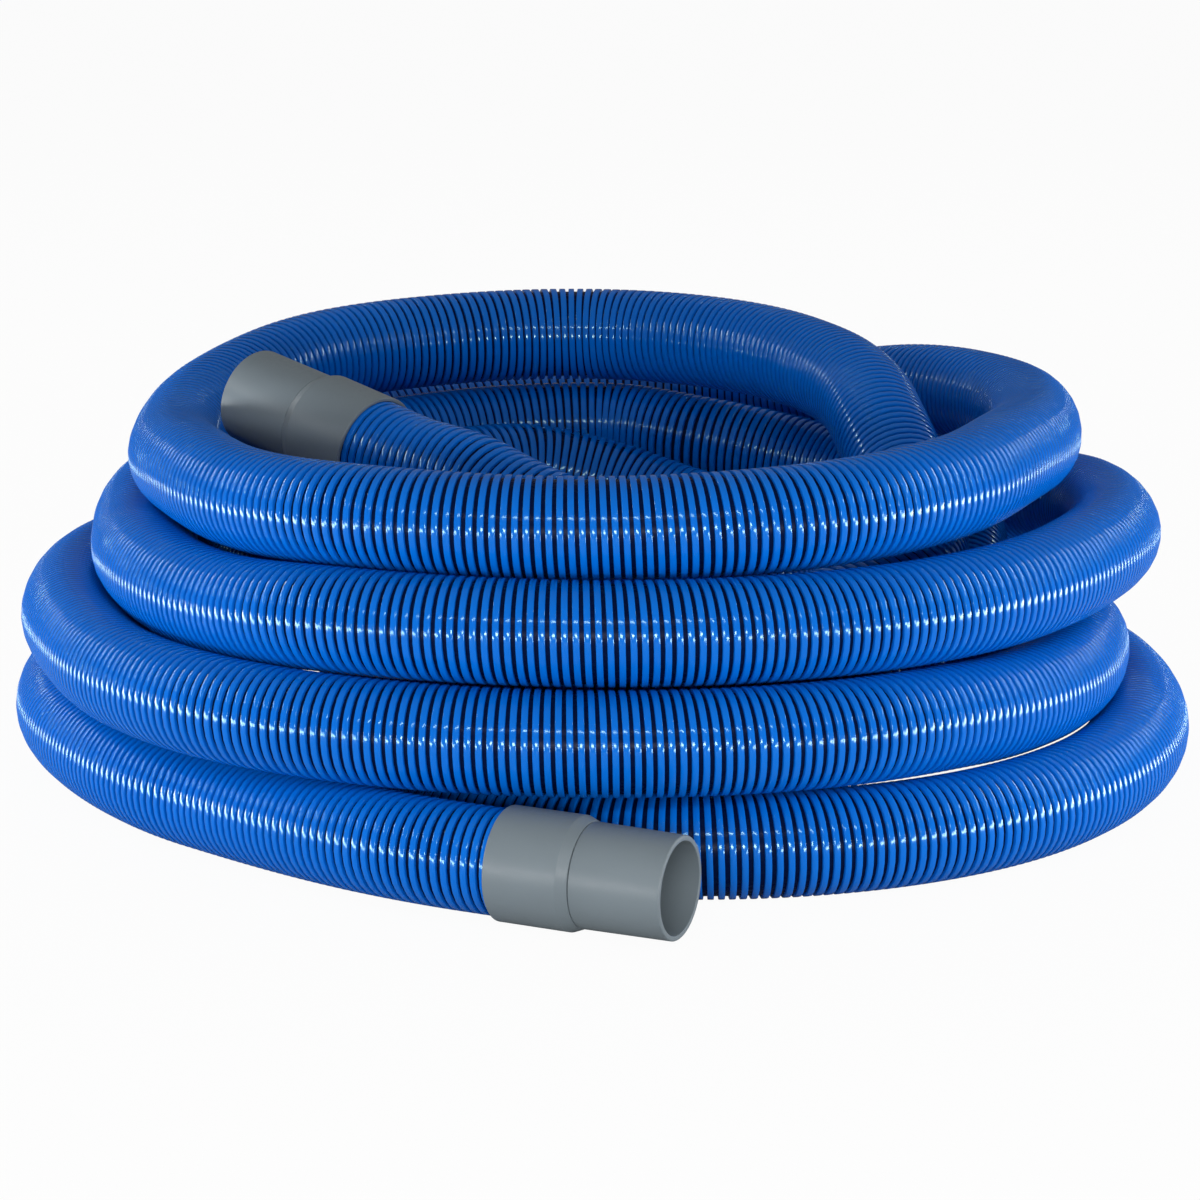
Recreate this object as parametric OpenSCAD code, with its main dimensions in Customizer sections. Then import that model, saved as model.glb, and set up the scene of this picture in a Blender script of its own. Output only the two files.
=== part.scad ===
// Ribbed suction hose thrown down in a loose coil, with a swivel cuff on each end.
// Millimetres, +Z up. The coil stands on Z = 0 and its front faces -Y.
// Each cuff is a collar bonded over the hose end, a face seal against the cut end
// of the hose, and a spigot that turns in the collar behind a captive flange.

/* [Hose] */
// Outside diameter over the ribs
hose_od = 59; // [50:0.5:66]
// Height of a rib above the wall between two ribs
rib_height = 2; // [1:0.25:2.5]
// Thickness of the wall between two ribs
hose_wall = 2; // [1.5:0.25:3]
// Number of ribs modelled along the coil
coil_ribs = 126; // [90:1:126]
// Number of ribs modelled along the front run
front_ribs = 2; // [1:1:3]
// Number of ribs modelled along the rear run
rear_ribs = 6; // [3:1:8]

/* [Collar] */
// Wall of the barrel round the socket
barrel_wall = 2.15; // [1.5:0.05:4]
// Length of the barrel of the collar
barrel_len = 43; // [42:1:46]
// Length of the chamfered lip in front of the barrel
lip_len = 6; // [5:0.5:8]
// Drop of the lip's chamfer, from the barrel to the front of the lip
lip_drop = 2.45; // [1.5:0.05:3]
// Depth of the socket that takes the end of the hose
socket_depth = 36; // [30:1:36]
// Rounding of the rear edge of the barrel
rim_round = 0.8; // [0.4:0.2:1]

/* [Spigot] */
// How far the spigot's outside lies inside the hose's, next to the collar
spigot_step = 0.5; // [0.25:0.25:1.5]
// Taper of the spigot's outside, on the radius, from the collar to the mouth
mouth_taper = 0.5; // [0.25:0.25:1]
// Wall of the spigot next to the collar
spigot_wall = 3.5; // [3:0.25:4]
// Length of the spigot in front of the collar
spigot_len = 52.7; // [45:0.1:55]
// Thickness of the captive flange
flange_t = 3; // [2.5:0.25:3]
// Depth of the neck that turns in the lip, below the spigot's outside
neck_step = 1.5; // [1:0.25:2]
// Chamfer round the mouth
mouth_chamfer = 1; // [0.5:0.25:1.25]

/* [Seal] */
// Thickness of the face seal
seal_t = 3; // [2:0.5:3]

/* [Clearances] */
// Radial gap between the hose and the socket
bond_gap = 0.1; // [0.05:0.05:0.2]
// Radial gap between the captive flange and the socket
flange_gap = 0.2; // [0.1:0.05:0.4]
// Radial running clearance between neck and lip
swivel_clearance = 0.05; // [0.02:0.01:0.1]
// Axial play on each side of the captive flange
end_play = 0.3; // [0.2:0.05:0.4]

/* [Hidden] */

blue = [0.02, 0.33, 0.78];
grey = [0.49, 0.52, 0.54];
black = [0.06, 0.06, 0.07];

hose_r = hose_od / 2;
bore_r = hose_r - rib_height - hose_wall;
socket_r = hose_r + bond_gap;
barrel_r = socket_r + barrel_wall;
spigot_r = hose_r - spigot_step;
neck_r = spigot_r - neck_step;
sides = 8;
curve_fn = 96;
// A point of the tube lower than this is pressed flat on the ground, once the hose is
// clear of the front collar
flat_depth = hose_od / 10;
ground_from = 2 * hose_od;

// Straight length at each end of a run, one hose diameter
straight = hose_od;

// The cuffs and the route are laid out for a hose of this diameter, and grow with the hose
laid_out_od = 59;
grow = hose_od / laid_out_od;

// Cuffs: centre of the rear rim of the collar, and a point further along its axis
front_rim = grow * [-49, -329.5, 32.5];
front_aim = grow * [44, -372.5, 30.8];
rear_rim = grow * [-130, -56.5, 205];
rear_aim = grow * [-205, 10, 224.5];

// Centre of the coil in plan
coil_centre = [1, 37.5];
// Route of the coil: [quarter turns, distance from the centre, height].
// Quarter turns run clockwise seen from above: 0 front, 1 left, 2 back, 3 right.
coil_route = [
    // first turn, on the ground
    [0.5, 316, 29.5], [0.75, 316, 29.5], [1, 327, 29.5], [1.25, 342, 29.5], [1.5, 347, 29.5],
    [2, 333, 29.5], [2.5, 333, 29.5], [3, 326, 29.5], [3.5, 343, 29.5], [3.75, 338, 29.5],
    // second turn, on the ground inside the first, then up at the right
    [4, 315, 29.5], [4.25, 268, 29.5], [4.5, 254, 29.5], [4.75, 254, 29.5], [5, 266, 29.5],
    [5.25, 280, 29.5], [5.5, 285, 29.5], [6, 271, 29.5], [6.25, 271, 30], [6.5, 272, 35], [6.75, 270, 56],
    [7, 287, 75.2], [7.25, 298, 76.9], [7.5, 316, 82.6], [7.6, 323, 85.9], [7.75, 334, 89.2],
    // third turn, the second layer
    [8, 334, 90], [8.4, 340, 92.5], [8.6, 330, 91], [8.8, 319, 90], [9, 322, 89],
    [9.25, 333, 89], [9.5, 331, 89], [10, 302, 83], [10.5, 304, 110], [10.75, 317, 131],
    [11, 310, 138], [11.25, 303, 142], [11.5, 308, 144], [11.75, 314, 146],
    // fourth turn, the third layer
    [12, 315, 147], [12.3, 315, 146.6], [12.5, 299, 139], [12.8, 280, 136], [13, 279, 131],
    [13.25, 296, 137], [13.5, 303, 147], [14, 298, 150], [14.25, 298, 163], [14.5, 288, 185],
    [14.75, 278, 192], [15, 261, 194], [15.25, 255, 199], [15.5, 272, 201], [15.75, 287, 201],
    // fifth turn, the top layer, which dives inside the coil at the right
    [16, 283, 198], [16.3, 286, 198.7], [16.5, 272, 194], [16.75, 255, 191], [17, 255, 187],
    [17.25, 261, 196], [17.5, 262, 208], [17.75, 252, 213], [18, 246, 214], [18.25, 217, 215],
    [18.5, 190, 213], [18.75, 174, 207], [19, 173, 191], [19.25, 200, 162], [19.5, 243, 143],
    [19.75, 251, 125],
    // sixth turn, inside the pile
    [20, 254, 122], [20.25, 249, 136], [20.5, 234, 141], [20.75, 220, 138], [21, 214, 137],
    [21.5, 236, 149], [22, 235, 154], [22.2, 221, 149], [22.5, 228, 136], [22.75, 228, 132],
    [23, 218, 125], [23.25, 224, 102], [23.5, 235, 79], [23.75, 252, 62],
    // seventh turn, the innermost
    [24, 251, 61], [24.25, 218, 80], [24.5, 189, 95], [25, 158, 110], [25.5, 175, 136],
    [25.8, 177, 140], [26, 170, 130], [26.2, 159, 117], [26.5, 150, 106], [26.75, 146, 101],
    [27, 148, 99], [27.25, 159, 100], [27.5, 179, 111], [27.75, 191, 137], [28, 187, 170],
    [28.25, 164, 191]
];

// The coil proper ends here, and the rest of the route is the free run to the rear cuff
coil_until = 27;

// Cubic from a to b, with the two slopes for a step of this size
function cubic(a, b, slope_a, slope_b, step, t) =
    (2 * t^3 - 3 * t^2 + 1) * a + (t^3 - 2 * t^2 + t) * step * slope_a
    + (3 * t^2 - 2 * t^3) * b + (t^3 - t^2) * step * slope_b;
function unit(v) = v / norm(v);

// Position on the route after so many quarter turns
last = len(coil_route) - 1;
function slope(i) =
    let (a = coil_route[max(0, i - 1)], b = coil_route[min(last, i + 1)])
    (b - a) / (b[0] - a[0]);
function station_before(quarters) =
    min(last - 1, max([for (i = [0:last]) if (coil_route[i][0] <= quarters) i]));
function coil_polar(quarters) =
    let (
        i = station_before(quarters),
        a = coil_route[i],
        b = coil_route[i + 1],
        step = b[0] - a[0]
    )
    cubic(a, b, slope(i), slope(i + 1), step, (quarters - a[0]) / step);
function coil_point(quarters) =
    let (polar = coil_polar(quarters), turn = 90 * quarters)
    grow * [
        coil_centre[0] - polar[1] * sin(turn),
        coil_centre[1] - polar[1] * cos(turn),
        polar[2]
    ];

// Points along the route, quarter turns from..to
per_quarter = 32;
function route_points(from, to) =
    let (count = round((to - from) * per_quarter))
    [for (i = [0:count]) coil_point(from + (to - from) * i / count)];

// The hose runs straight out of each cuff, then bends over to the route
front_axis = unit(front_aim - front_rim);
rear_axis = unit(rear_aim - rear_rim);
front_end = front_rim + socket_depth * front_axis;
rear_end = rear_rim + socket_depth * rear_axis;
front_bend = front_end - straight * front_axis;
rear_bend = rear_end - straight * rear_axis;
function bridge(a, b, leave, arrive) =
    let (span = norm(b - a))
    [for (i = [1:7]) cubic(a, b, leave, arrive, span, i / 8)];

coil_line = route_points(coil_route[0][0], coil_until);
tail_line = route_points(coil_until, coil_route[last][0]);
function away(points) = unit(points[1] - points[0]);
function back(points) = let (n = len(points) - 1) unit(points[n] - points[n - 1]);
front_line = concat(
    [front_end, front_bend],
    bridge(front_bend, coil_line[0], -front_axis, away(coil_line))
);
rear_line = concat(
    tail_line,
    bridge(tail_line[len(tail_line) - 1], rear_bend, back(tail_line), rear_axis),
    [rear_bend, rear_end]
);
hose_line = concat(front_line, coil_line, [for (i = [1:len(rear_line) - 1]) rear_line[i]]);

// Distance travelled at each point of the line
travelled = [
    for (i = 0, s = 0; i < len(hose_line);
        s = s + (i < len(hose_line) - 1 ? norm(hose_line[i + 1] - hose_line[i]) : 0), i = i + 1)
    s
];
hose_length = travelled[len(hose_line) - 1];
coil_from = travelled[len(front_line)];
coil_to = travelled[len(front_line) + len(coil_line) - 1];
tables = [
    for (axis = [0:2])
    [for (i = [0:len(hose_line) - 1]) [travelled[i], hose_line[i][axis]]]
];
function at(s) = [lookup(s, tables[0]), lookup(s, tables[1]), lookup(s, tables[2])];
function heading(s) = unit(at(min(s + 1, hose_length)) - at(max(s - 1, 0)));

// Rings of a stretch: straight for one diameter at each end, even between
function stops(from, to, ribs) =
    let (inner = to - from - 2 * straight, spaces = 2 * ribs)
    concat(
        [from],
        [for (k = [0:spaces]) from + straight + inner * k / spaces],
        [to]
    );

// A ring of the tube: its centre, the direction of the tube there and its radius.
// Its second axis is level, so that every ring stands upright on the ground.
function ring(centre, along, radius) =
    let (side = unit(cross(along, [0, 0, 1])), up = cross(side, along))
    [
        for (k = [0:sides - 1])
        let (turn = 360 * (k + 0.5) / sides)
        centre + radius * (cos(turn) * side + sin(turn) * up)
    ];
function pressed(points) = [for (p = points) [p[0], p[1], p[2] < flat_depth ? 0 : p[2]]];

// Ribbed tube with a bore. Every second ring between the straight ends is a hollow.
module ribbed_tube(from, to, ribs) {
    places = stops(from, to, ribs);
    count = len(places);
    centres = [for (s = places) at(s)];
    headings = [
        for (i = [0:count - 1])
        i == 0 || i == count - 1
            ? heading(places[i])
            : unit(unit(centres[i + 1] - centres[i]) + unit(centres[i] - centres[i - 1]))
    ];
    outer = [
        for (i = [0:count - 1])
        let (
            hollow = i > 1 && i < count - 2 && i % 2 == 0,
            rim = ring(centres[i], headings[i], hollow ? hose_r - rib_height : hose_r)
        )
        each places[i] > ground_from ? pressed(rim) : rim
    ];
    inner = [for (i = [0:count - 1]) each ring(centres[i], headings[i], bore_r)];
    total = count * sides;
    wall_faces = [
        for (i = [0:count - 2], k = [0:sides - 1])
        let (a = i * sides + k, b = i * sides + (k + 1) % sides, c = a + sides, d = b + sides)
        each [[a, b, c], [b, d, c]]
    ];
    bore_faces = [for (f = wall_faces) [f[0] + total, f[2] + total, f[1] + total]];
    start_faces = [
        for (k = [0:sides - 1])
        let (a = k, b = (k + 1) % sides)
        each [[a, a + total, b], [b, a + total, b + total]]
    ];
    top = total - sides;
    end_faces = [for (f = start_faces) [f[0] + top, f[2] + top, f[1] + top]];
    polyhedron(concat(outer, inner), concat(wall_faces, bore_faces, start_faces, end_faces));
}

// Least gap between two passes of the hose, on points of its centre line. Two points
// are on different passes when more than this length of hose lies between them.
same_pass = 2.5 * hose_od;
last_pass = 4 * hose_od;
function nearest(i) =
    min([
        for (j = [i:len(hose_line) - 1])
        if (travelled[j] - travelled[i] > same_pass) norm(hose_line[j] - hose_line[i])
    ]);
module print_gap() {
    starts = [for (i = [0:len(hose_line) - 1]) if (hose_length - travelled[i] > last_pass) i];
    least = min([for (i = starts) nearest(i)]);
    echo(least_gap = least - hose_od, hose_length = hose_length);
}

module hose_coil() {
    print_gap();
    color(blue) ribbed_tube(coil_from, coil_to, coil_ribs);
}

module hose_front_run() {
    color(blue) ribbed_tube(0, coil_from, front_ribs);
}

module hose_rear_run() {
    color(blue) ribbed_tube(coil_to, hose_length, rear_ribs);
}

// Stands what it holds on a cuff's axis, +Z from the rim to the mouth of the cuff
module on_axis(rim, axis) {
    translate(rim) rotate([0, acos(axis[2]), atan2(axis[1], axis[0])]) children();
}

// Places along a cuff, from the rim of the collar
seal_front = socket_depth + seal_t;
flange_back = seal_front + end_play;
flange_front = flange_back + flange_t;
lip_back = flange_front + end_play;
lip_front = barrel_len + lip_len;
spigot_back = lip_front + end_play;
mouth_at = spigot_back + spigot_len;

module collar() {
    lip_r = neck_r + swivel_clearance;
    color(grey) rotate_extrude($fn = curve_fn) polygon([
        [socket_r, 0],
        [barrel_r - rim_round, 0],
        [barrel_r, rim_round],
        [barrel_r, barrel_len],
        [barrel_r - lip_drop, lip_front],
        [lip_r, lip_front],
        [lip_r, lip_back],
        [socket_r, lip_back]
    ]);
}

module seal_ring() {
    color(black) rotate_extrude($fn = curve_fn)
        translate([bore_r, socket_depth]) square([hose_r - bore_r, seal_t]);
}

module spigot() {
    inside_r = spigot_r - spigot_wall;
    flange_r = socket_r - flange_gap;
    mouth_r = spigot_r - mouth_taper;
    color(grey) rotate_extrude($fn = curve_fn) polygon([
        [inside_r, flange_back],
        [flange_r, flange_back],
        [flange_r, flange_front],
        [neck_r, flange_front],
        [neck_r, spigot_back],
        [spigot_r, spigot_back],
        [mouth_r, mouth_at - mouth_chamfer],
        [mouth_r - mouth_chamfer, mouth_at],
        [inside_r, mouth_at]
    ]);
}

module front_collar() { on_axis(front_rim, front_axis) collar(); }
module front_seal_ring() { on_axis(front_rim, front_axis) seal_ring(); }
module front_spigot() { on_axis(front_rim, front_axis) spigot(); }
module rear_collar() { on_axis(rear_rim, rear_axis) collar(); }
module rear_seal_ring() { on_axis(rear_rim, rear_axis) seal_ring(); }
module rear_spigot() { on_axis(rear_rim, rear_axis) spigot(); }

hose_coil();
hose_front_run();
hose_rear_run();
front_collar();
front_seal_ring();
front_spigot();
rear_collar();
rear_seal_ring();
rear_spigot();
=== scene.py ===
# %% [markdown]
# # A ribbed suction hose, thrown down in a loose coil
#
# The hose is one long plastic tube: a thin dark wall, and round it one continuous blue
# rib, wound like the thread of a screw. A grey cuff is fitted on each end. It has a
# collar that holds the hose and a spigot that turns in the collar. This script dresses
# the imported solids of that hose. Everything is in metres, in the frame of the solids:
# +Z up, and the front of the coil towards -Y.

import math

import bpy
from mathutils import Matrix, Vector


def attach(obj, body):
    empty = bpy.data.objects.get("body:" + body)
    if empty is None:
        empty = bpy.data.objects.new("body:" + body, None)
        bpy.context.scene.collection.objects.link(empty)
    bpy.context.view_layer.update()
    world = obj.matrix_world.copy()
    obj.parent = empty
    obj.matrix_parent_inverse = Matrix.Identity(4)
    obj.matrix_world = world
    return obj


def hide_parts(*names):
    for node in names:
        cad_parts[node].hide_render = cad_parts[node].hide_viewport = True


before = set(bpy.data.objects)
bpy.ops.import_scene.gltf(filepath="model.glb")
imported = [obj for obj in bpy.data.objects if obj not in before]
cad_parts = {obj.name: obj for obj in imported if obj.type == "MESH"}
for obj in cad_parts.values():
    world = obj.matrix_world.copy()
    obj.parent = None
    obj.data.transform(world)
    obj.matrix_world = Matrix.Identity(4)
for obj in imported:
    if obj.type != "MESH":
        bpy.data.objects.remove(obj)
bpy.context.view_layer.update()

# %% [markdown]
# ## Camera first
#
# The camera stands 2.9 m away, in front of the coil and 13 degrees above it, with a long
# lens. A long lens from far away keeps the rings of the coil nearly elliptical, as a
# product picture does. It looks at a point inside the coil, and that point's height and
# the lens set where the hose stands in the frame.

# %% Camera
LOOK_AT = Vector((0.001, -0.0575, 0.115))
CAMERA_DISTANCE = 2.9
CAMERA_ELEVATION = math.radians(13)
LENS_MM = 147.9

camera_data = bpy.data.cameras.new("camera")
camera_data.lens = LENS_MM
camera_data.sensor_width = 36.0
camera_data.sensor_fit = "HORIZONTAL"
camera = bpy.data.objects.new("camera", camera_data)
bpy.context.scene.collection.objects.link(camera)
bpy.context.scene.camera = camera
forward = Vector((0, math.cos(CAMERA_ELEVATION), -math.sin(CAMERA_ELEVATION)))
camera.location = LOOK_AT - CAMERA_DISTANCE * forward
camera.rotation_euler = forward.to_track_quat("-Z", "Y").to_euler()
print("camera at", [round(v, 3) for v in camera.location])

# %% [markdown]
# ## The route of the hose
#
# A hose that is thrown down in a coil is best written as a few numbers for each turn:
# how far round it is, how far from the middle and how high. The angle is counted in
# quarter turns, so 0 is the front, 1 the left, 2 the back and 3 the right, and 4 is the
# front again, one turn later. Between two stations a cubic curve keeps the same slope on
# both sides, so the hose has no kinks. The numbers are those of the solids, in mm.

# %% Sizes of the hose and places of the two cuffs
MM = 0.001
HOSE_OD = 59.0
WALL_OD = 55.0
HOSE_BORE = 51.0
RIB_PITCH = 5.75
RIB_WIDTH = 3.7
SOCKET_DEPTH = 36.0

# The rim of each cuff, and a point further along its axis
FRONT_RIM = Vector((-49, -329.5, 32.5))
FRONT_AIM = Vector((44, -372.5, 30.8))
REAR_RIM = Vector((-130, -56.5, 205))
REAR_AIM = Vector((-205, 10, 224.5))
COIL_CENTRE = (1.0, 37.5)

# Quarter turns, distance from the centre, height
ROUTE = [
    # first turn, on the ground
    (0.5, 316, 29.5), (0.75, 316, 29.5), (1, 327, 29.5), (1.25, 342, 29.5), (1.5, 347, 29.5),
    (2, 333, 29.5), (2.5, 333, 29.5), (3, 326, 29.5), (3.5, 343, 29.5), (3.75, 338, 29.5),
    # second turn, on the ground inside the first, then up at the right
    (4, 315, 29.5), (4.25, 268, 29.5), (4.5, 254, 29.5), (4.75, 254, 29.5), (5, 266, 29.5),
    (5.25, 280, 29.5), (5.5, 285, 29.5), (6, 271, 29.5), (6.25, 271, 30), (6.5, 272, 35),
    (6.75, 270, 56), (7, 287, 75.2), (7.25, 298, 76.9), (7.5, 316, 82.6), (7.6, 323, 85.9),
    (7.75, 334, 89.2),
    # third turn, the second layer
    (8, 334, 90), (8.4, 340, 92.5), (8.6, 330, 91), (8.8, 319, 90), (9, 322, 89),
    (9.25, 333, 89), (9.5, 331, 89), (10, 302, 83), (10.5, 304, 110), (10.75, 317, 131),
    (11, 310, 138), (11.25, 303, 142), (11.5, 308, 144), (11.75, 314, 146),
    # fourth turn, the third layer
    (12, 315, 147), (12.3, 315, 146.6), (12.5, 299, 139), (12.8, 280, 136), (13, 279, 131),
    (13.25, 296, 137), (13.5, 303, 147), (14, 298, 150), (14.25, 298, 163), (14.5, 288, 185),
    (14.75, 278, 192), (15, 261, 194), (15.25, 255, 199), (15.5, 272, 201), (15.75, 287, 201),
    # fifth turn, the top layer, which dives inside the coil at the right
    (16, 283, 198), (16.3, 286, 198.7), (16.5, 272, 194), (16.75, 255, 191), (17, 255, 187),
    (17.25, 261, 196), (17.5, 262, 208), (17.75, 252, 213), (18, 246, 214), (18.25, 217, 215),
    (18.5, 190, 213), (18.75, 174, 207), (19, 173, 191), (19.25, 200, 162), (19.5, 243, 143),
    (19.75, 251, 125),
    # sixth turn, inside the pile
    (20, 254, 122), (20.25, 249, 136), (20.5, 234, 141), (20.75, 220, 138), (21, 214, 137),
    (21.5, 236, 149), (22, 235, 154), (22.2, 221, 149), (22.5, 228, 136), (22.75, 228, 132),
    (23, 218, 125), (23.25, 224, 102), (23.5, 235, 79), (23.75, 252, 62),
    # seventh turn, the innermost, and the free run up to the rear cuff
    (24, 251, 61), (24.25, 218, 80), (24.5, 189, 95), (25, 158, 110), (25.5, 175, 136),
    (25.8, 177, 140), (26, 170, 130), (26.2, 159, 117), (26.5, 150, 106), (26.75, 146, 101),
    (27, 148, 99), (27.25, 159, 100), (27.5, 179, 111), (27.75, 191, 137), (28, 187, 170),
    (28.25, 164, 191),
]

# %% The route as one smooth line
PER_QUARTER = 64


def cubic(a, b, slope_a, slope_b, step, t):
    """Point on the cubic from a to b that leaves and arrives with these slopes."""
    return ((2 * t**3 - 3 * t**2 + 1) * a + (t**3 - 2 * t**2 + t) * step * slope_a
            + (3 * t**2 - 2 * t**3) * b + (t**3 - t**2) * step * slope_b)


stations = [Vector(s) for s in ROUTE]


def slope(i):
    """How distance and height change with the angle at station i."""
    a, b = stations[max(0, i - 1)], stations[min(len(stations) - 1, i + 1)]
    return (b - a) / (b[0] - a[0])


def coil_point(quarters):
    """Place of the hose after so many quarter turns, in mm."""
    i = max(k for k in range(len(stations) - 1) if stations[k][0] <= quarters + 1e-6)
    a, b = stations[i], stations[i + 1]
    step = b[0] - a[0]
    polar = cubic(a, b, slope(i), slope(i + 1), step, (quarters - a[0]) / step)
    turn = math.radians(90 * quarters)
    return Vector((COIL_CENTRE[0] - polar[1] * math.sin(turn),
                   COIL_CENTRE[1] - polar[1] * math.cos(turn), polar[2]))


def bridge(a, b, leave, arrive, count=24):
    """Inner points of the bend between a straight end and the coil."""
    span = (b - a).length
    return [cubic(a, b, leave, arrive, span, k / count) for k in range(1, count)]


def straight_run(a, b, count=12):
    """Points from a towards b, without b itself."""
    return [a.lerp(b, k / count) for k in range(count)]


first_q, last_q = ROUTE[0][0], ROUTE[-1][0]
coil_count = round((last_q - first_q) * PER_QUARTER)
coil = [coil_point(first_q + (last_q - first_q) * k / coil_count)
        for k in range(coil_count + 1)]

front_axis = (FRONT_AIM - FRONT_RIM).normalized()
rear_axis = (REAR_AIM - REAR_RIM).normalized()
front_end = FRONT_RIM + SOCKET_DEPTH * front_axis
rear_end = REAR_RIM + SOCKET_DEPTH * rear_axis
front_bend = front_end - HOSE_OD * front_axis
rear_bend = rear_end - HOSE_OD * rear_axis
line = (
    straight_run(front_end, front_bend) + [front_bend]
    + bridge(front_bend, coil[0], -front_axis, (coil[1] - coil[0]).normalized())
    + coil
    + bridge(coil[-1], rear_bend, (coil[-1] - coil[-2]).normalized(), rear_axis)
    + straight_run(rear_bend, rear_end) + [rear_end]
)
line = [p * MM for p in line]
hose_length = sum((b - a).length for a, b in zip(line, line[1:]))
print(f"route: {len(line)} points, {hose_length:.2f} m")

# %% The route as a curve object, for Geometry Nodes to follow
path_data = bpy.data.curves.new("route", "CURVE")
path_data.dimensions = "3D"
path_data.twist_mode = "MINIMUM"
spline = path_data.splines.new("POLY")
spline.points.add(len(line) - 1)
for point, place in zip(spline.points, line):
    point.co = (*place, 1)
path = bpy.data.objects.new("route", path_data)
bpy.context.scene.collection.objects.link(path)

# %% [markdown]
# ## Two plastics
#
# The rib is a tough, bright blue plastic with a half-gloss skin. The wall between the
# ribs is the same hose seen deep in a groove, and is nearly black. Both are written as
# node materials: a little noise in the colour, a fine bump, and a roughness that varies
# a little, because an extruded skin is never perfectly even. The cuffs get the same
# treatment further down, so one function makes a plastic from a few values.

# %% Small helpers for node materials
BUMP_HEIGHT = 0.0004
NOISE_LOW, NOISE_HIGH = 0.3, 0.7  # the noise hardly ever goes past these


def node_material(name):
    """A new node material: itself, its nodes, its links and its shader."""
    made = bpy.data.materials.new(name)
    made.use_nodes = True
    nodes, links = made.node_tree.nodes, made.node_tree.links
    return made, nodes, links, nodes["Principled BSDF"]


def noise(nodes, links, coordinates, scale, detail=2.0):
    """Noise on the piece's own coordinates, so that it stays put when the piece turns."""
    made = nodes.new("ShaderNodeTexNoise")
    made.inputs["Scale"].default_value = scale
    made.inputs["Detail"].default_value = detail
    links.new(coordinates.outputs["Object"], made.inputs["Vector"])
    return made


def spread(nodes, links, value, low, high):
    """Maps a noise value to the range low..high."""
    made = nodes.new("ShaderNodeMapRange")
    made.inputs["From Min"].default_value = NOISE_LOW
    made.inputs["From Max"].default_value = NOISE_HIGH
    made.inputs["To Min"].default_value = low
    made.inputs["To Max"].default_value = high
    links.new(value, made.inputs["Value"])
    return made.outputs["Result"]


def mottled(nodes, links, value, dark, light):
    """A colour that drifts between two shades with a noise value."""
    made = nodes.new("ShaderNodeMix")
    made.data_type = "RGBA"
    made.inputs["A"].default_value = (*dark, 1)
    made.inputs["B"].default_value = (*light, 1)
    links.new(value, made.inputs["Factor"])
    return made.outputs["Result"]


def bumped(nodes, links, value, shader, strength):
    """Raises the skin a little where the noise value is high."""
    made = nodes.new("ShaderNodeBump")
    made.inputs["Strength"].default_value = strength
    made.inputs["Distance"].default_value = BUMP_HEIGHT
    links.new(value, made.inputs["Height"])
    links.new(made.outputs["Normal"], shader.inputs["Normal"])


def plastic(name, drift_scale, dark, light, skin_scale, roughness, bump, drift_detail=2.0):
    """Plastic with a drifting colour and a skin that is uneven in gloss and height."""
    made, nodes, links, shader = node_material(name)
    where = nodes.new("ShaderNodeTexCoord")
    drift = noise(nodes, links, where, drift_scale, drift_detail)
    links.new(mottled(nodes, links, drift.outputs["Fac"], dark, light),
              shader.inputs["Base Color"])
    skin = noise(nodes, links, where, skin_scale, detail=3.0)
    links.new(spread(nodes, links, skin.outputs["Fac"], *roughness),
              shader.inputs["Roughness"])
    bumped(nodes, links, skin.outputs["Fac"], shader, bump)
    return made, shader


# %% Blue rib plastic
def make_rib_plastic():
    made, shader = plastic(
        "blue_rib_plastic", drift_scale=9.0, dark=(0.0006, 0.128, 0.58),
        light=(0.0010, 0.152, 0.67), skin_scale=260.0, roughness=(0.09, 0.14), bump=0.05,
    )
    shader.inputs["Specular IOR Level"].default_value = 0.6
    shader.inputs["Specular Tint"].default_value = (0.62, 1.0, 0.8, 1)
    return made


rib_plastic = make_rib_plastic()


# %% Dark wall plastic
def make_wall_plastic():
    made, shader = plastic(
        "dark_wall_plastic", drift_scale=14.0, dark=(0.0005, 0.006, 0.034),
        light=(0.0008, 0.009, 0.052), skin_scale=300.0, roughness=(0.22, 0.32), bump=0.06,
    )
    shader.inputs["Specular IOR Level"].default_value = 0.05
    return made


wall_plastic = make_wall_plastic()
print("materials:", rib_plastic.name, wall_plastic.name)

# %% [markdown]
# ## Geometry Nodes: a sweep that can be a wall or a thread
#
# The wall and the rib are both made by one small tree. It lays a grid of points along
# the route. One side of the grid runs along the hose, the other across the profile. Each
# point asks the route for its place, its direction and its side, and stands off by a
# radius at an angle. For the wall, the angle goes once round the profile. For the rib,
# the angle goes on and on with the length, once for each pitch, so the grid becomes a
# thread, and the profile is a flat-topped ridge with rounded shoulders.

# %% Wiring helpers for the trees
def math_node(tree, operation, a, b=None):
    """One sum. A number is typed into the socket, and anything else is linked to it."""
    made = tree.nodes.new("ShaderNodeMath")
    made.operation = operation
    for socket, value in zip(made.inputs, (a, b)):
        if value is None:
            continue
        if isinstance(value, (int, float)):
            socket.default_value = value
        else:
            tree.links.new(value, socket)
    return made.outputs[0]


def vector_node(tree, operation, a, b=None, scale=None):
    """One step with vectors, whose result is a vector."""
    made = tree.nodes.new("ShaderNodeVectorMath")
    made.operation = operation
    tree.links.new(a, made.inputs[0])
    if b is not None:
        tree.links.new(b, made.inputs[1])
    if scale is not None:
        tree.links.new(scale, made.inputs["Scale"])
    return made.outputs["Vector"]


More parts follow.
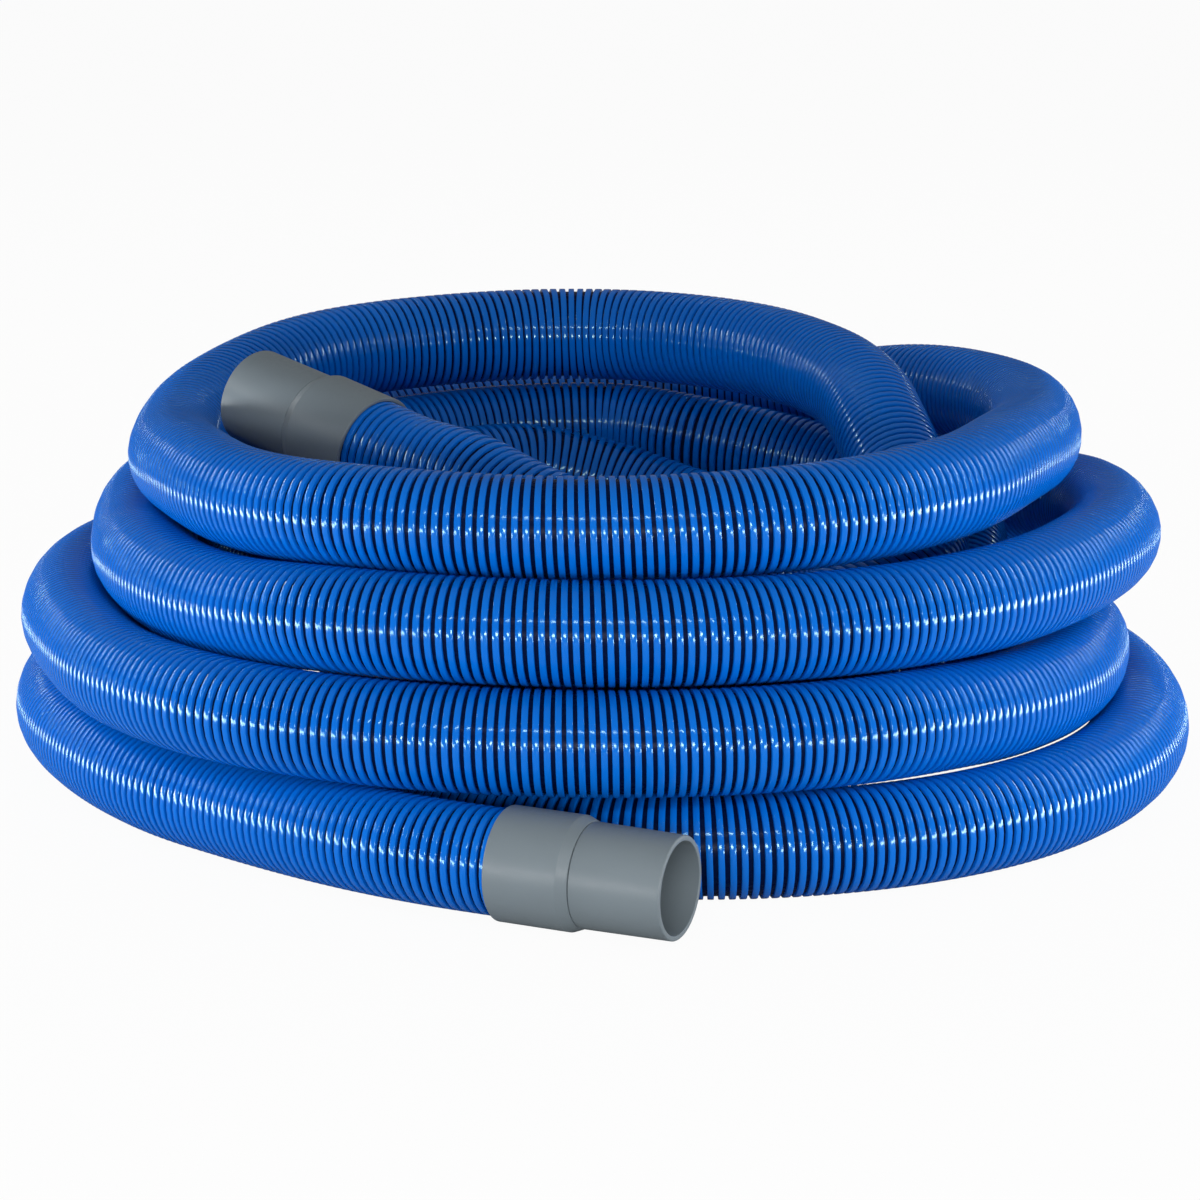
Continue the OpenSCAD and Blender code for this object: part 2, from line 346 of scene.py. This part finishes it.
def start_tree(name, sizes):
    """A tree with a route, a material and one named input for each size."""
    tree = bpy.data.node_groups.new(name, "GeometryNodeTree")
    tree.is_modifier = True
    face = tree.interface
    face.new_socket("Geometry", in_out="INPUT", socket_type="NodeSocketGeometry")
    face.new_socket("Route", in_out="INPUT", socket_type="NodeSocketObject")
    face.new_socket("Plastic", in_out="INPUT", socket_type="NodeSocketMaterial")
    for label, kind in sizes.items():
        face.new_socket(label, in_out="INPUT", socket_type=kind)
    face.new_socket("Geometry", in_out="OUTPUT", socket_type="NodeSocketGeometry")
    return tree, tree.nodes.new("NodeGroupInput"), tree.nodes.new("NodeGroupOutput")


def on_route(tree, given, along):
    """Samples the route at the length along: place, direction, side and up."""
    info = tree.nodes.new("GeometryNodeObjectInfo")
    tree.links.new(given.outputs["Route"], info.inputs["Object"])
    sample = tree.nodes.new("GeometryNodeSampleCurve")
    sample.mode = "LENGTH"
    sample.use_all_curves = True
    tree.links.new(info.outputs["Geometry"], sample.inputs["Curves"])
    tree.links.new(along, sample.inputs["Length"])
    side = sample.outputs["Normal"]
    direction = sample.outputs["Tangent"]
    up = vector_node(tree, "CROSS_PRODUCT", direction, side)
    return sample.outputs["Position"], direction, side, up


def stand_off(tree, place, side, up, direction, angle, radius, shift=None):
    """place + radius * (cos angle * side + sin angle * up) + shift * direction"""
    across = vector_node(tree, "SCALE", side, scale=math_node(tree, "COSINE", angle))
    above = vector_node(tree, "SCALE", up, scale=math_node(tree, "SINE", angle))
    out = vector_node(tree, "SCALE", vector_node(tree, "ADD", across, above), scale=radius)
    total = vector_node(tree, "ADD", place, out)
    if shift is None:
        return total
    return vector_node(tree, "ADD", total, vector_node(tree, "SCALE", direction, scale=shift))


def grid(tree, rows, columns):
    """A flat grid of rows x columns points, and each point's row and column."""
    made = tree.nodes.new("GeometryNodeMeshGrid")
    made.inputs["Size X"].default_value = 1
    made.inputs["Size Y"].default_value = 1
    tree.links.new(rows, made.inputs["Vertices X"])
    tree.links.new(columns, made.inputs["Vertices Y"])
    index = tree.nodes.new("GeometryNodeInputIndex").outputs[0]
    # The half keeps a whole number from falling just short of the next row
    middle = math_node(tree, "ADD", index, 0.5)
    row = math_node(tree, "FLOOR", math_node(tree, "DIVIDE", middle, columns))
    column = math_node(tree, "SUBTRACT", index, math_node(tree, "MULTIPLY", row, columns))
    return made.outputs["Mesh"], row, column


def finish_tree(tree, given, result, mesh, place, merge=None):
    """Moves the grid's points to place, joins those closer than merge, and paints it."""
    move = tree.nodes.new("GeometryNodeSetPosition")
    tree.links.new(mesh, move.inputs["Geometry"])
    tree.links.new(place, move.inputs["Position"])
    shape = move.outputs["Geometry"]
    if merge:
        join = tree.nodes.new("GeometryNodeMergeByDistance")
        join.inputs["Distance"].default_value = merge
        tree.links.new(shape, join.inputs["Geometry"])
        shape = join.outputs["Geometry"]
    smooth = tree.nodes.new("GeometryNodeSetShadeSmooth")
    tree.links.new(shape, smooth.inputs["Geometry"])
    realize = tree.nodes.new("GeometryNodeRealizeInstances")
    tree.links.new(smooth.outputs[0], realize.inputs[0])
    paint = tree.nodes.new("GeometryNodeSetMaterial")
    tree.links.new(realize.outputs[0], paint.inputs["Geometry"])
    tree.links.new(given.outputs["Plastic"], paint.inputs["Material"])
    tree.links.new(paint.outputs[0], result.inputs[0])


def grow(name, tree, values):
    """Runs a tree on an empty mesh and keeps the result as a plain mesh object."""
    made = bpy.data.objects.new(name, bpy.data.meshes.new(name))
    bpy.context.scene.collection.objects.link(made)
    modifier = made.modifiers.new("grow", "NODES")
    modifier.node_group = tree
    for item in tree.interface.items_tree:
        if item.in_out == "INPUT" and item.name in values:
            modifier[item.identifier] = values[item.name]
    depsgraph = bpy.context.evaluated_depsgraph_get()
    mesh = bpy.data.meshes.new_from_object(made.evaluated_get(depsgraph))
    made.modifiers.clear()
    made.data = mesh
    mesh.name = name
    triangles = sum(len(p.vertices) - 2 for p in mesh.polygons)
    print(f"{name}: {len(mesh.vertices)} points, {triangles} triangles")
    return made


# %% The tree of the rib
def make_rib_tree():
    tree, given, result = start_tree("rib_thread", {
        "From Turn": "NodeSocketInt", "Turns": "NodeSocketInt", "Steps": "NodeSocketInt",
        "Start": "NodeSocketFloat", "Pitch": "NodeSocketFloat", "Wall Radius": "NodeSocketFloat",
        "Rib Radius": "NodeSocketFloat", "Rib Width": "NodeSocketFloat",
        "Profile Points": "NodeSocketInt", "Squareness": "NodeSocketFloat",
    })
    size = given.outputs
    rows = math_node(tree, "ADD", math_node(tree, "MULTIPLY", size["Turns"], size["Steps"]), 1)
    mesh, row, column = grid(tree, rows, size["Profile Points"])
    turn = math_node(tree, "ADD", math_node(tree, "DIVIDE", row, size["Steps"]), size["From Turn"])
    along = math_node(tree, "ADD", math_node(tree, "MULTIPLY", turn, size["Pitch"]), size["Start"])
    place, direction, side, up = on_route(tree, given, along)
    # The profile is half of a rounded square: -1..1 across, 0..1 high
    last = math_node(tree, "SUBTRACT", size["Profile Points"], 1)
    sweep = math_node(tree, "MULTIPLY", math_node(tree, "DIVIDE", column, last), math.pi)
    cosine = math_node(tree, "COSINE", sweep)
    sine = math_node(tree, "MAXIMUM", math_node(tree, "SINE", sweep), 0)
    wide = math_node(tree, "MULTIPLY", math_node(tree, "SIGN", cosine),
                     math_node(tree, "POWER", math_node(tree, "ABSOLUTE", cosine), size["Squareness"]))
    high = math_node(tree, "POWER", sine, size["Squareness"])
    rise = math_node(tree, "SUBTRACT", size["Rib Radius"], size["Wall Radius"])
    radius = math_node(tree, "ADD", size["Wall Radius"], math_node(tree, "MULTIPLY", high, rise))
    shift = math_node(tree, "MULTIPLY", wide, math_node(tree, "MULTIPLY", size["Rib Width"], -0.5))
    angle = math_node(tree, "MULTIPLY", turn, 2 * math.pi)
    finish_tree(tree, given, result, mesh,
                stand_off(tree, place, side, up, direction, angle, radius, shift))
    return tree


# %% The tree of the wall
SEAM_GAP = 1e-6  # closes the tube where its first and last side meet


def make_wall_tree():
    tree, given, result = start_tree("tube_wall", {
        "Start": "NodeSocketFloat", "Length": "NodeSocketFloat", "Rings": "NodeSocketInt",
        "Sides": "NodeSocketInt", "Radius": "NodeSocketFloat",
    })
    size = given.outputs
    mesh, row, column = grid(tree, size["Rings"], math_node(tree, "ADD", size["Sides"], 1))
    share = math_node(tree, "DIVIDE", row, math_node(tree, "SUBTRACT", size["Rings"], 1))
    along = math_node(tree, "ADD", math_node(tree, "MULTIPLY", share, size["Length"]), size["Start"])
    place, direction, side, up = on_route(tree, given, along)
    round_share = math_node(tree, "DIVIDE", column, size["Sides"])
    angle = math_node(tree, "MULTIPLY", round_share, -2 * math.pi)
    finish_tree(tree, given, result, mesh,
                stand_off(tree, place, side, up, direction, angle, size["Radius"]),
                merge=SEAM_GAP)
    return tree


rib_tree, wall_tree = make_rib_tree(), make_wall_tree()

# %% [markdown]
# ## The wall
#
# The wall is one tube for the whole hose, 55 mm outside and 51 mm inside, because it is
# what the hose is: the ribs only stand on it. The outside and the bore are grown apart,
# and their open ends sit inside the cuffs, against the seals. The bore needs fewer rings,
# because little of it is ever seen. The rib is far too long for one mesh, so it is grown
# in seven lengths.

# %% Grow the wall
SIDES = 24
WALL_RINGS = 1400
BORE_RINGS = 700
tube = {"Route": path, "Plastic": wall_plastic, "Start": 0.0, "Length": hose_length,
        "Sides": SIDES}
wall = grow("hose_wall", wall_tree, {**tube, "Rings": WALL_RINGS, "Radius": WALL_OD / 2 * MM})
bore = grow("hose_bore", wall_tree, {**tube, "Rings": BORE_RINGS, "Radius": HOSE_BORE / 2 * MM})
bore.data.flip_normals()

# %% Grow the rib, in lengths of a few hundred turns
RIB_STEPS = 28
PROFILE_POINTS = 9
RIB_SQUARENESS = 0.25  # the smaller, the flatter the top and the steeper the sides
RIB_FOOT = 0.3  # how far the rib is sunk in the wall, so that no gap shows
PIECES = 7
turns = int(hose_length / (RIB_PITCH * MM)) - 1
start = (hose_length - turns * RIB_PITCH * MM) / 2
ribs = []
for k in range(PIECES):
    low, high = turns * k // PIECES, turns * (k + 1) // PIECES
    ribs.append(grow(f"hose_rib_{k + 1}", rib_tree, {
        "Route": path, "Plastic": rib_plastic, "From Turn": low, "Turns": high - low,
        "Steps": RIB_STEPS, "Start": start, "Pitch": RIB_PITCH * MM,
        "Wall Radius": (WALL_OD / 2 - RIB_FOOT) * MM, "Rib Radius": HOSE_OD / 2 * MM,
        "Rib Width": RIB_WIDTH * MM, "Profile Points": PROFILE_POINTS,
        "Squareness": RIB_SQUARENESS,
    }))
print("turns of the rib:", turns)
bpy.data.objects.remove(path)

# %% [markdown]
# ## The cuffs
#
# Each cuff is turned plastic: round about one axis. So a profile is drawn once, with its
# corners rounded, and spun round the axis. The collar has a barrel and a chamfered lip.
# The spigot has a captive flange, a neck and a thin round mouth. All lengths start at the
# rim, where the hose goes in.

# %% Grey cuff plastic
def make_cuff_plastic():
    made, shader = plastic(
        "grey_cuff_plastic", drift_scale=30.0, drift_detail=4.0, dark=(0.160, 0.194, 0.216),
        light=(0.178, 0.216, 0.240), skin_scale=420.0, roughness=(0.34, 0.46), bump=0.08,
    )
    shader.inputs["Specular IOR Level"].default_value = 0.35
    return made


cuff_plastic = make_cuff_plastic()


# %% Black seal rubber: matt, and without a bump, because it is out of sight
def make_seal_rubber():
    made, nodes, links, shader = node_material("seal_rubber")
    where = nodes.new("ShaderNodeTexCoord")
    drift = noise(nodes, links, where, 60.0)
    links.new(mottled(nodes, links, drift.outputs["Fac"], (0.004, 0.004, 0.005),
                      (0.008, 0.008, 0.009)), shader.inputs["Base Color"])
    links.new(spread(nodes, links, drift.outputs["Fac"], 0.6, 0.75), shader.inputs["Roughness"])
    return made


seal_rubber = make_seal_rubber()
print("materials:", cuff_plastic.name, seal_rubber.name)

# %% Lengths of the cuff, in mm from the rim
END_PLAY = 0.3
SEAL_LEN = 3.0
FLANGE_LEN = 3.0
BARREL_LEN = 43.0
LIP_FRONT = 49.0
SPIGOT_LEN = 52.7
SEAL_FRONT = SOCKET_DEPTH + SEAL_LEN
FLANGE_BACK = SEAL_FRONT + END_PLAY
FLANGE_FRONT = FLANGE_BACK + FLANGE_LEN
LIP_BACK = FLANGE_FRONT + END_PLAY
SPIGOT_BACK = LIP_FRONT + END_PLAY
MOUTH = SPIGOT_BACK + SPIGOT_LEN
print("cuff length in mm:", round(MOUTH, 1))

# %% Radii of the cuff, in mm
BARREL_R = 31.75
SOCKET_R = 29.6
LIP_R = 29.3
LIP_BORE_R = 27.55
FLANGE_R = 29.4
NECK_R = 27.5
SHOULDER_R = 29.0
MOUTH_R = 28.5
BORE_R = HOSE_BORE / 2

# Each corner of a profile: place along the axis, radius, and how far it is rounded
COLLAR = [
    (0, SOCKET_R, 0.3), (0, BARREL_R, 0.9), (BARREL_LEN, BARREL_R, 1.6),
    (LIP_FRONT, LIP_R, 0.8), (LIP_FRONT, LIP_BORE_R, 0.2), (LIP_BACK, LIP_BORE_R, 0),
    (LIP_BACK, SOCKET_R, 0),
]
SPIGOT = [
    (FLANGE_BACK, BORE_R, 0.3), (FLANGE_BACK, FLANGE_R, 0.3), (FLANGE_FRONT, FLANGE_R, 0.3),
    (FLANGE_FRONT, NECK_R, 0), (SPIGOT_BACK, NECK_R, 0), (SPIGOT_BACK, SHOULDER_R, 0.5),
    (MOUTH, MOUTH_R, 1.0), (MOUTH, BORE_R, 0.5),
]

# %% Spin a profile
SHARP_ANGLE = math.radians(35)


def rounded(profile, steps=5):
    """The closed profile with each corner replaced by an arc of its radius."""
    points = []
    count = len(profile)
    for k, (x, r, radius) in enumerate(profile):
        corner = Vector((x, r))
        if radius == 0:
            points.append(corner)
            continue
        back = (Vector(profile[k - 1][:2]) - corner).normalized()
        ahead = (Vector(profile[(k + 1) % count][:2]) - corner).normalized()
        half = back.angle(ahead) / 2
        reach = radius / math.tan(half)
        centre = corner + (back + ahead).normalized() * radius / math.sin(half)
        a, b = corner + back * reach - centre, corner + ahead * reach - centre
        for i in range(steps + 1):
            t = i / steps
            points.append(centre + (a * (1 - t) + b * t).normalized() * radius)
    return points


def spun(name, profile, rim, axis, material, sides=128):
    """Spins a closed profile round the axis of a cuff."""
    ring = rounded(profile)
    side = axis.cross(Vector((0, 0, 1))).normalized()
    up = side.cross(axis)
    verts, faces = [], []
    for k in range(sides):
        turn = 2 * math.pi * k / sides
        out = math.cos(turn) * side + math.sin(turn) * up
        verts += [(rim + axis * p[0] + out * p[1]) * MM for p in ring]
    n = len(ring)
    for k in range(sides):
        a, b = k * n, (k + 1) % sides * n
        faces += [(a + i, a + (i + 1) % n, b + (i + 1) % n, b + i) for i in range(n)]
    mesh = bpy.data.meshes.new(name)
    mesh.from_pydata(verts, [], faces)
    mesh.materials.append(material)
    mesh.shade_smooth()
    mesh.set_sharp_from_angle(angle=SHARP_ANGLE)
    made = bpy.data.objects.new(name, mesh)
    bpy.context.scene.collection.objects.link(made)
    return made


cuffs = {}
for end, rim, axis in (("front", FRONT_RIM, front_axis), ("rear", REAR_RIM, rear_axis)):
    cuffs[end + "_collar"] = spun(end + "_collar_shell", COLLAR, rim, axis, cuff_plastic)
    cuffs[end + "_spigot"] = spun(end + "_spigot_shell", SPIGOT, rim, axis, cuff_plastic)
print("cuff pieces:", list(cuffs))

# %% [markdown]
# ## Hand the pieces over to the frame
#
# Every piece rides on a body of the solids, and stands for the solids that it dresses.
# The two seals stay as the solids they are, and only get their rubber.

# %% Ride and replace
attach(wall, "hose")
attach(bore, "hose")
for rib in ribs:
    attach(rib, "hose")
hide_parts("hose_coil", "hose_front_run", "hose_rear_run")
for node, shell in cuffs.items():
    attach(shell, "hose" if node.endswith("collar") else node)
    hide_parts(node)
for end in ("front", "rear"):
    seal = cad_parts[end + "_seal_ring"]
    seal.data.materials.clear()
    seal.data.materials.append(seal_rubber)
print("pieces on the hose:", len([wall, bore, *ribs]), "and on the cuffs:", len(cuffs))

# %% [markdown]
# ## Studio
#
# The floor is grey paper. To the camera most of it is plain white, and the rest still
# shows the shadow of the hose. The world is a weak grey light, and white to the camera.
# So the background is white because it says so to camera rays, not because more light is
# poured on. The lamps that shine in the ribs are narrow strips round the front and the
# sides, because a narrow strip draws a thin line of light along a glossy hose. Two wide
# lamps, above and behind, fill in without a highlight of their own.

# %% Floor
FLOOR_SIZE = 12
WHITE_SHARE = 0.93
WHITE_STRENGTH = 1.03


def white_to_camera(nodes, links):
    """How much of the floor is plain white: WHITE_SHARE of it to the camera, else none."""
    rays = nodes.new("ShaderNodeLightPath")
    made = nodes.new("ShaderNodeMath")
    made.operation = "MULTIPLY"
    links.new(rays.outputs["Is Camera Ray"], made.inputs[0])
    made.inputs[1].default_value = WHITE_SHARE
    return made.outputs[0]


def make_floor_paper():
    made, nodes, links, shader = node_material("floor_paper")
    shader.inputs["Base Color"].default_value = (0.45, 0.45, 0.45, 1)
    shader.inputs["Roughness"].default_value = 0.9
    shader.inputs["Specular IOR Level"].default_value = 0.1
    white = nodes.new("ShaderNodeEmission")
    white.inputs["Color"].default_value = (1, 1, 1, 1)
    white.inputs["Strength"].default_value = WHITE_STRENGTH
    mix = nodes.new("ShaderNodeMixShader")
    links.new(white_to_camera(nodes, links), mix.inputs["Fac"])
    links.new(shader.outputs["BSDF"], mix.inputs[1])
    links.new(white.outputs["Emission"], mix.inputs[2])
    links.new(mix.outputs["Shader"], nodes["Material Output"].inputs["Surface"])
    return made


bpy.ops.mesh.primitive_plane_add(size=FLOOR_SIZE, location=(0, 0, 0))
floor = bpy.context.object
floor.name = "floor"
floor.data.materials.append(make_floor_paper())
print("floor:", FLOOR_SIZE, "m wide")

# %% World: soft grey light, white to the camera
WORLD_LIGHT = 0.15


def make_world():
    made = bpy.data.worlds.new("studio")
    made.use_nodes = True
    nodes, links = made.node_tree.nodes, made.node_tree.links
    rays = nodes.new("ShaderNodeLightPath")
    soft = nodes["Background"]
    soft.inputs["Color"].default_value = (1, 1, 1, 1)
    soft.inputs["Strength"].default_value = WORLD_LIGHT
    seen = nodes.new("ShaderNodeBackground")
    seen.inputs["Color"].default_value = (1, 1, 1, 1)
    seen.inputs["Strength"].default_value = 1.0
    mix = nodes.new("ShaderNodeMixShader")
    links.new(rays.outputs["Is Camera Ray"], mix.inputs["Fac"])
    links.new(soft.outputs["Background"], mix.inputs[1])
    links.new(seen.outputs["Background"], mix.inputs[2])
    links.new(mix.outputs["Shader"], nodes["World Output"].inputs["Surface"])
    return made


bpy.context.scene.world = make_world()
print("world:", bpy.context.scene.world.name)


# %% Lamps: name, place, width and height, watts, and whether it shows as a highlight
def lamp(name, place, size, power, shines):
    """A rectangular lamp that faces the hose and that the camera doesn't see."""
    data = bpy.data.lights.new(name, "AREA")
    data.shape = "RECTANGLE"
    data.size, data.size_y = size
    data.energy = power
    made = bpy.data.objects.new(name, data)
    bpy.context.scene.collection.objects.link(made)
    made.location = place
    made.rotation_euler = (LOOK_AT - Vector(place)).to_track_quat("-Z", "Y").to_euler()
    made.visible_camera = False
    made.visible_glossy = shines
    return made


lamps = [lamp(*values) for values in (
    ("front_key", (0.0, -1.75, 0.36), (0.7, 0.14), 8, True),
    ("left_front", (-1.2, -1.35, 0.08), (0.9, 0.13), 7, True),
    ("right_front", (1.2, -1.35, 0.08), (0.9, 0.13), 7, True),
    ("left_low", (-0.95, -0.15, 0.05), (1.0, 0.09), 4.5, True),
    ("right_low", (0.95, -0.15, 0.05), (1.0, 0.09), 4.5, True),
    ("front_upper", (0.0, -1.5, 1.1), (1.6, 0.06), 6, True),
    ("left_upper", (-1.35, 0.35, 0.8), (1.5, 0.05), 4, True),
    ("right_upper", (1.35, 0.35, 0.8), (1.5, 0.05), 4, True),
    ("top_soft", (-0.1, 0.1, 2.0), (1.4, 1.0), 2, False),
    ("rear_soft", (0.0, 2.0, 1.6), (2.0, 0.8), 12, False),
)]
bpy.context.scene.view_settings.view_transform = "Standard"
print("lamps:", len(lamps))
